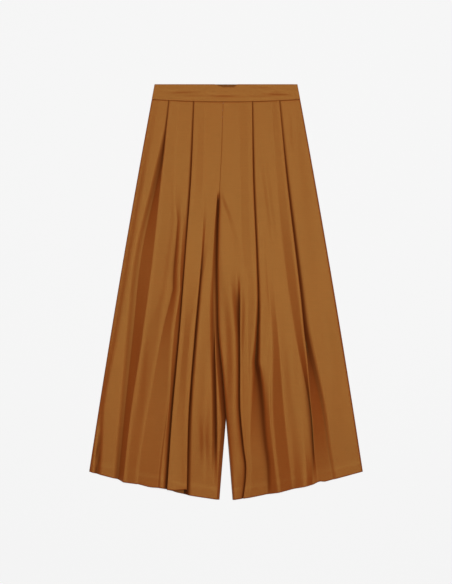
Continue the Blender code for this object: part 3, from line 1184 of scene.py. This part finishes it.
def cloth_sheet(
    name: str, points: list, lengths: list, thickness: float, finishes: tuple
) -> bpy.types.Object:
    """Make a wall of cloth whose middle surface goes through rows of points.

    Args:
        name: Name of the object.
        points: An array of places for each row, from the waist down.
        lengths: For the same points, the lengths of cloth across and down, for the weave, then how
            open each point lies, from which the material paints shade.
        thickness: Thickness of the cloth.
        finishes: The material of the upper side and that of the under side.

    Returns:
        The object, at the origin.
    """
    across, down = len(points[0]) - 1, len(points) - 1
    shape = bmesh.new()
    bmesh.ops.create_grid(shape, x_segments=across, y_segments=down, size=0.5)
    weave = shape.loops.layers.uv.new("weave")
    # How open each point lies, which the material turns into painted shade in the folds.
    painted_shade_layer = shape.verts.layers.float.new("painted_shade_openness")
    cell = {}
    for vertex in shape.verts:
        column = round((vertex.co.x + 0.5) * across)
        row = round((0.5 - vertex.co.y) * down)
        cell[vertex] = (row, column)
        vertex.co = points[row][column]
        vertex[painted_shade_layer] = lengths[row][column][2]
    for face in shape.faces:
        for loop in face.loops:
            row, column = cell[loop.vert]
            loop[weave].uv = lengths[row][column][:2]
    mesh = bpy.data.meshes.new(name)
    shape.to_mesh(mesh)
    shape.free()
    mesh.shade_smooth()
    for finish in finishes:
        mesh.materials.append(finish)
    made = add_object(name, mesh)
    wall = made.modifiers.new("wall", "SOLIDIFY")
    wall.thickness = thickness
    wall.offset = 0.0
    wall.use_even_offset = False
    wall.material_offset = 1
    return made


@dataclass(frozen=True)
class ClothFinish:
    """The look of one side of the cloth: colour, sheen, weave and slubs.

    A grain is how fine a noise is across and down the cloth. Where the cloth lies closed from
    the light, shade is painted into its colour, which turns to the painted shade colour, and
    its gloss goes.
    """

    name: str
    colour: tuple
    shine_colour: tuple
    specular: float
    roughness: float
    sheen: float
    slub_contrast: float
    # Dark colour painted into closed folds as shade, not a dye of the cloth.
    painted_shade_colour: tuple
    sheen_roughness: float = 0.4
    closed_roughness: float = 1.0
    cross_grain: tuple = (26.0, 420.0)
    long_grain: tuple = (520.0, 11.0)
    cloud_grain: tuple = (7.0, 5.0)
    long_share: float = 0.32
    cloud_share: float = 0.30
    darkest_at: float = 0.30
    lightest_at: float = 0.70
    thread: float = 0.00055
    relief_share: float = 0.35
    relief: float = 0.00025

    def noise(self, tree: bpy.types.NodeTree, grain: tuple, detail: float) -> bpy.types.NodeSocket:
        """Add a noise over the weave.

        Args:
            tree: The material's nodes.
            grain: How fine it is across and down.
            detail: How many finer noises it holds.

        Returns:
            The noise's strength.
        """
        place = add_node(tree, "UVMap", {"uv_map": "weave"}, {}).outputs["UV"]
        stretched = add_node(tree, "Mapping", {}, {"Scale": (*grain, 1.0), "Vector": place})
        inputs = {"Scale": 1.0, "Detail": detail, "Vector": stretched.outputs["Vector"]}
        return add_node(tree, "TexNoise", {}, inputs).outputs["Fac"]

    def threads(self, tree: bpy.types.NodeTree, direction: str) -> bpy.types.NodeSocket:
        """Add the waves of the threads that lie side by side in a direction.

        Args:
            tree: The material's nodes.
            direction: X for across the cloth or Y for down it.

        Returns:
            The waves' height.
        """
        place = add_node(tree, "UVMap", {"uv_map": "weave"}, {}).outputs["UV"]
        settings = {"wave_type": "BANDS", "bands_direction": direction, "wave_profile": "SIN"}
        scale = 2 * math.pi / (WAVE_TURNS * self.thread)
        inputs = {"Scale": scale, "Distortion": 0.0, "Vector": place}
        return add_node(tree, "TexWave", settings, inputs).outputs["Fac"]

    def tone(self, tree: bpy.types.NodeTree, strength: bpy.types.NodeSocket) -> bpy.types.NodeSocket:
        """Add the ramp from the colour's darkest tone to its lightest.

        Args:
            tree: The material's nodes.
            strength: What picks the tone.

        Returns:
            The colour.
        """
        ramp = add_node(tree, "ValToRGB", {}, {"Fac": strength})
        ends = ((self.darkest_at, 1 - self.slub_contrast), (self.lightest_at, 1 + self.slub_contrast))
        for end, (position, share) in zip(ramp.color_ramp.elements, ends):
            end.position = position
            end.color = (*(c * share for c in self.colour), 1.0)
        return ramp.outputs["Color"]

    def build(self) -> bpy.types.Material:
        """Build the material.

        Returns:
            A node material that reads the weave's own coordinates, in metres.
        """
        made = bpy.data.materials.new(self.name)
        made.use_nodes = True
        tree = made.node_tree
        cross, along = self.noise(tree, self.cross_grain, 3.0), self.noise(tree, self.long_grain, 2.0)
        number, colour = {"data_type": "FLOAT"}, {"data_type": "RGBA"}
        inputs = {"Factor": self.long_share, "A": cross, "B": along}
        slubs = add_node(tree, "Mix", number, inputs).outputs["Result"]
        cloud = self.noise(tree, self.cloud_grain, 2.0)
        inputs = {"Factor": self.cloud_share, "A": slubs, "B": cloud}
        clouded = add_node(tree, "Mix", number, inputs).outputs["Result"]
        # Painted shade: closed places take the dark painted shade colour instead of the lit cloth
        # colour, and lose their gloss.
        painted_shade_mask = add_node(tree, "Attribute", {"attribute_name": "painted_shade_openness"}, {}).outputs["Fac"]
        deep, lit = (*self.painted_shade_colour, 1.0), self.tone(tree, clouded)
        cloth = add_node(tree, "Mix", colour, {"Factor": painted_shade_mask, COLOUR_A: deep, COLOUR_B: lit})
        inputs = {"To Min": self.closed_roughness, "To Max": self.roughness, "Value": painted_shade_mask}
        gloss = add_node(tree, "MapRange", {}, inputs).outputs["Result"]
        inputs = {0: self.threads(tree, "X"), 1: self.threads(tree, "Y")}
        weave = add_node(tree, "Math", {"operation": "MULTIPLY"}, inputs).outputs["Value"]
        height = add_node(tree, "Math", {"operation": "ADD"}, {0: weave, 1: slubs}).outputs["Value"]
        inputs = {"Strength": self.relief_share, "Distance": self.relief, "Height": height}
        bumps = add_node(tree, "Bump", {}, inputs).outputs["Normal"]
        feed(tree, tree.nodes["Principled BSDF"], {
            "Base Color": cloth.outputs[COLOUR_RESULT],
            "Roughness": gloss,
            "Specular IOR Level": self.specular,
            "Specular Tint": (*self.shine_colour, 1.0),
            "Sheen Weight": self.sheen,
            "Sheen Roughness": self.sheen_roughness,
            "Sheen Tint": (*self.shine_colour, 1.0),
            "Normal": bumps,
        })
        return made


CLOTH_FACE = ClothFinish(
    name="satin_cloth_face",
    colour=(0.266, 0.0540, 0.0084),
    shine_colour=(1.0, 0.79, 0.210),
    specular=0.62,
    roughness=0.44,
    sheen=0.08,
    slub_contrast=0.10,
    # Dark colour painted into closed folds as shade.
    painted_shade_colour=(0.070, 0.004, 0.0),
)
CLOTH_INSIDE = ClothFinish(
    name="matt_cloth_inside",
    colour=(0.180, 0.056, 0.010),
    shine_colour=(1.0, 0.85, 0.40),
    specular=0.25,
    roughness=0.70,
    sheen=0.05,
    slub_contrast=0.09,
    # Dark colour painted into closed folds as shade.
    painted_shade_colour=(0.040, 0.007, 0.0005),
)


@dataclass
class Trousers:
    """All the pieces of the trousers, dressed and tied to the body, with the solids they stand for
    hidden.
    """

    face: bpy.types.Material
    inside: bpy.types.Material

    def dress(self, piece: bpy.types.Object, node: str) -> None:
        """Tie a piece to the body, hide the solid it replaces, and report it.

        Args:
            piece: The piece of cloth.
            node: Name of the solid.
        """
        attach(piece, BODY)
        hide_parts(node)
        LOG.info("%s replaces %s", piece.name, node)

    def build(self) -> dict:
        """Build every piece.

        Returns:
            The pieces by the name of the solid they replace.
        """
        made = {}
        upward, downward = (self.face, self.inside), (self.inside, self.face)
        right, left = FrontPanel(RIGHT_LEG), FrontPanel(LEFT_LEG)
        made["front_leg_right"] = right.build(upward, beside=left)
        made["front_leg_left"] = left.build(upward)
        made["back_leg_right"] = BackPanel(RIGHT_LEG).build(right, downward)
        made["back_leg_left"] = BackPanel(LEFT_LEG).build(left, downward)
        band = Waistband()
        made["waistband_front"] = band.build(True, upward)
        made["waistband_back"] = band.build(False, downward)
        for node, piece in made.items():
            self.dress(piece, node)
        return made


@dataclass(frozen=True)
class Studio:
    """A plain pale floor, one wide soft light overhead and the camera straight above."""

    floor_size: float = 12.0
    floor_colour: tuple = (0.30, 0.30, 0.30)
    floor_glow: float = 0.66
    floor_roughness: float = 0.95
    floor_drop: float = 0.0002
    light_size: float = 2.6
    light_height: float = 6.0
    light_aside: float = 0.14
    light_ahead: float = 0.42
    light_power: float = 318.0
    fill: float = 0.04
    lens: float = 85.0
    sensor: float = 36.0
    picture_height: float = 1.4892

    def build(self) -> None:
        """Build the floor, the lights and the camera."""
        self.build_floor()
        self.build_light()
        self.build_camera()

    def build_floor(self) -> None:
        """Build the floor just under the cloth."""
        shape = bmesh.new()
        bmesh.ops.create_grid(shape, x_segments=1, y_segments=1, size=self.floor_size / 2)
        bmesh.ops.translate(shape, verts=shape.verts, vec=(0, 0, -self.floor_drop))
        mesh = bpy.data.meshes.new("floor")
        shape.to_mesh(mesh)
        shape.free()
        paint = bpy.data.materials.new("pale_floor")
        paint.use_nodes = True
        feed(paint.node_tree, paint.node_tree.nodes["Principled BSDF"], {
            "Base Color": (*self.floor_colour, 1.0),
            "Roughness": self.floor_roughness,
            "Specular IOR Level": 0.0,
            "Emission Color": WHITE,
            "Emission Strength": self.floor_glow,
        })
        mesh.materials.append(paint)
        add_object("floor", mesh)

    def build_light(self) -> None:
        """Build the soft light and the even fill."""
        lamp = bpy.data.lights.new("softbox", "AREA")
        lamp.shape = "SQUARE"
        lamp.size = self.light_size
        lamp.energy = self.light_power
        light = add_object("softbox", lamp)
        light.location = (self.light_aside, self.light_ahead, self.light_height)
        light.visible_camera = False
        world = bpy.data.worlds.new("fill")
        world.use_nodes = True
        sky = world.node_tree.nodes["Background"]
        feed(world.node_tree, sky, {"Color": WHITE, "Strength": self.fill})
        bpy.context.scene.world = world

    def build_camera(self) -> None:
        """Build the camera, which looks straight down with the waistband at the top."""
        lens = bpy.data.cameras.new("camera")
        lens.lens = self.lens
        lens.sensor_width = self.sensor
        lens.dof.use_dof = False
        camera = add_object("camera", lens)
        camera.location = (0, 0, self.picture_height * self.lens / self.sensor)
        bpy.context.scene.camera = camera
        bpy.context.scene.view_settings.view_transform = "Standard"


def main() -> None:
    """Build the trousers and the studio."""
    logging.basicConfig(level=logging.INFO)
    made = Trousers(CLOTH_FACE.build(), CLOTH_INSIDE.build()).build()
    Studio().build()


if __name__ == "__main__":
    main()
